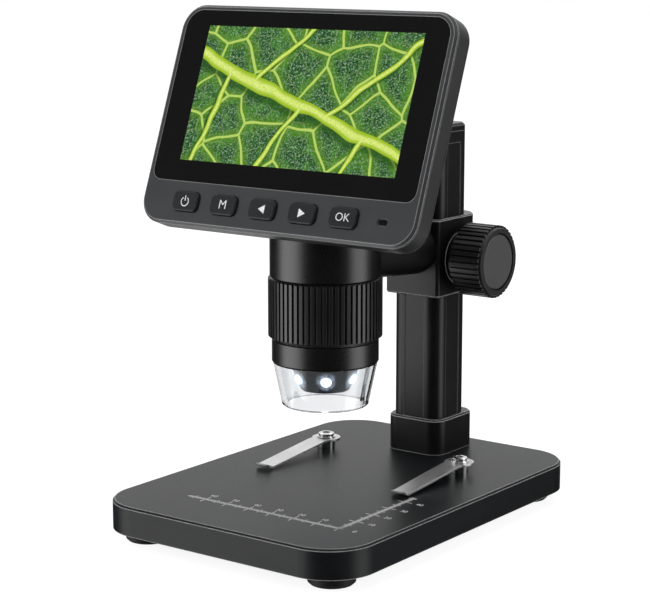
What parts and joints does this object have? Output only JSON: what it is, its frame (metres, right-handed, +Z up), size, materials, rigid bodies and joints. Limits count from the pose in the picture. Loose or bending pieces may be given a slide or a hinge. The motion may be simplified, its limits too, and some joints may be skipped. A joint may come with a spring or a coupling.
{
  "type": "digital microscope with screen",
  "caption": "Desk digital microscope: a tilted screen on a focusing barrel with a clear lamp shroud, held by a clamped carriage on a square column over a flat stage with specimen clips.",
  "frame": {"origin": "centre of the footprint on the surface the feet stand on", "axes": "+X to the right of someone facing the screen, +Y towards the column at the back, +Z up"},
  "size_m": [0.1216, 0.1572, 0.1912],
  "materials": {
    "base_satin": "satin charcoal coat",
    "weight_steel": "plain steel plate",
    "cover_plastic": "moulded, matte",
    "screw_steel": "zinc plated",
    "foot_rubber": "matte",
    "column_black": "black anodised, satin",
    "collar_black": "black anodised, satin",
    "clip_steel": "spring steel, satin",
    "post_chrome": "polished",
    "carriage_black": "black anodised, satin",
    "arm_black": "black anodised, satin",
    "pad_brass": "turned",
    "knob_plastic": "moulded, satin",
    "knob_disc": "moulded, satin",
    "barrel_black": "black anodised, satin",
    "ring_plastic": "moulded ribs, satin",
    "lens_glass": "clear, coated",
    "inner_plastic": "moulded, matte",
    "sensor_dark": "glossy package",
    "board_green": "solder mask",
    "nose_plastic": "moulded, satin",
    "lamp_white": "clear white",
    "shroud_clear": "clear, smooth",
    "shell_plastic": "moulded, fine texture",
    "bezel_plastic": "moulded, fine texture",
    "screen_glass": "polished, dark border",
    "panel_layers": "display stack",
    "battery_foil": "foil pouch",
    "socket_steel": "plated",
    "key_plastic": "moulded, satin",
    "dome_steel": "spring domes",
    "window_smoke": "smoked",
    "ribbon_amber": "flat flexible cable"
  },
  "bodies": {
    "stand": {"base_plate": "base_satin", "base_weight": "weight_steel", "bottom_cover": "cover_plastic", "cover_screws": "screw_steel", "rubber_feet": "foot_rubber", "foot_screws": "screw_steel", "column": "column_black", "column_screws": "screw_steel", "column_cap": "column_black", "cap_screw": "screw_steel", "column_collar": "collar_black", "collar_set_screw": "screw_steel", "clip_posts": "post_chrome", "clip_screws": "post_chrome"},
    "carriage": {"carriage_block": "carriage_black", "arm_screws": "screw_steel", "arm": "arm_black", "barrel_screws": "screw_steel", "barrel_housing": "barrel_black", "head_screws": "screw_steel", "barrel_sleeve": "barrel_black", "nose_sleeve": "barrel_black", "sensor_mount": "inner_plastic", "image_sensor": "sensor_dark", "ir_filter": "lens_glass", "sensor_board": "board_green", "led_board": "board_green", "led_nose": "nose_plastic", "leds": "lamp_white", "light_shroud": "shroud_clear", "rear_shell": "shell_plastic", "housing_screws": "screw_steel", "front_bezel": "bezel_plastic", "cover_glass": "screen_glass", "lcd_panel": "panel_layers", "main_board": "board_green", "battery": "battery_foil", "usb_socket": "socket_steel", "card_socket": "socket_steel", "dome_switches": "dome_steel", "key_board": "board_green", "indicator_window": "window_smoke", "flex_cable": "ribbon_amber"},
    "clamp_pad": {"clamp_pad": "pad_brass"},
    "clamp_knob": {"clamp_screw": "screw_steel", "knob_flange": "knob_plastic", "clamp_knob": "knob_plastic", "knob_cap": "knob_disc"},
    "focus_ring": {"focus_ring": "ring_plastic"},
    "lens_group": {"lens_cell": "barrel_black", "front_lens": "lens_glass", "rear_lens": "lens_glass", "lens_retainer": "barrel_black"},
    "left_clip": {"left_clip": "clip_steel"},
    "right_clip": {"right_clip": "clip_steel"},
    "power_button": {"power_button": "key_plastic"},
    "menu_button": {"menu_button": "key_plastic"},
    "left_button": {"left_button": "key_plastic"},
    "right_button": {"right_button": "key_plastic"},
    "ok_button": {"ok_button": "key_plastic"}
  },
  "joints": [
    {"name": "height_slide", "type": "slide", "parent": "stand", "child": "carriage", "axis": [0, 0, 1], "range_m": [-0.03, 0.03]},
    {"name": "clamp_press", "type": "slide", "parent": "carriage", "child": "clamp_pad", "axis": [1, 0, 0], "range_m": [0, 0.0005]},
    {"name": "clamp_turn", "type": "hinge", "parent": "clamp_pad", "child": "clamp_knob", "pos_m": [0.0163, 0.0591, 0.0929], "axis": [1, 0, 0], "range_deg": [0, 180.5]},
    {"name": "focus_turn", "type": "hinge", "parent": "carriage", "child": "focus_ring", "pos_m": [0, -0.012, 0.083], "axis": [0, 0, 1], "range_deg": [-150.5, 150.5]},
    {"name": "lens_slide", "type": "slide", "parent": "carriage", "child": "lens_group", "axis": [0, 0, 1], "range_m": [-0.005, 0.005]},
    {"name": "left_clip_turn", "type": "hinge", "parent": "stand", "child": "left_clip", "pos_m": [-0.0314, 0.031, 0.0196], "axis": [0, 0, 1], "range_deg": [-30, 35]},
    {"name": "right_clip_turn", "type": "hinge", "parent": "stand", "child": "right_clip", "pos_m": [0.0314, 0.031, 0.0196], "axis": [0, 0, -1], "range_deg": [-30, 35]},
    {"name": "power_press", "type": "slide", "parent": "carriage", "child": "power_button", "axis": [0, 0.9354, -0.3535], "range_m": [0, 0.0005], "stiffness_N_per_m": 150},
    {"name": "menu_press", "type": "slide", "parent": "carriage", "child": "menu_button", "axis": [0, 0.9354, -0.3535], "range_m": [0, 0.0005], "stiffness_N_per_m": 150},
    {"name": "left_press", "type": "slide", "parent": "carriage", "child": "left_button", "axis": [0, 0.9354, -0.3535], "range_m": [0, 0.0005], "stiffness_N_per_m": 150},
    {"name": "right_press", "type": "slide", "parent": "carriage", "child": "right_button", "axis": [0, 0.9354, -0.3535], "range_m": [0, 0.0005], "stiffness_N_per_m": 150},
    {"name": "ok_press", "type": "slide", "parent": "carriage", "child": "ok_button", "axis": [0, 0.9354, -0.3535], "range_m": [0, 0.0005], "stiffness_N_per_m": 150}
  ],
  "couplings": [
    {"joint": "clamp_turn", "follows": "clamp_press", "rad_per_m": 6283.2},
    {"joint": "focus_turn", "follows": "lens_slide", "rad_per_m": 523.6}
  ]
}
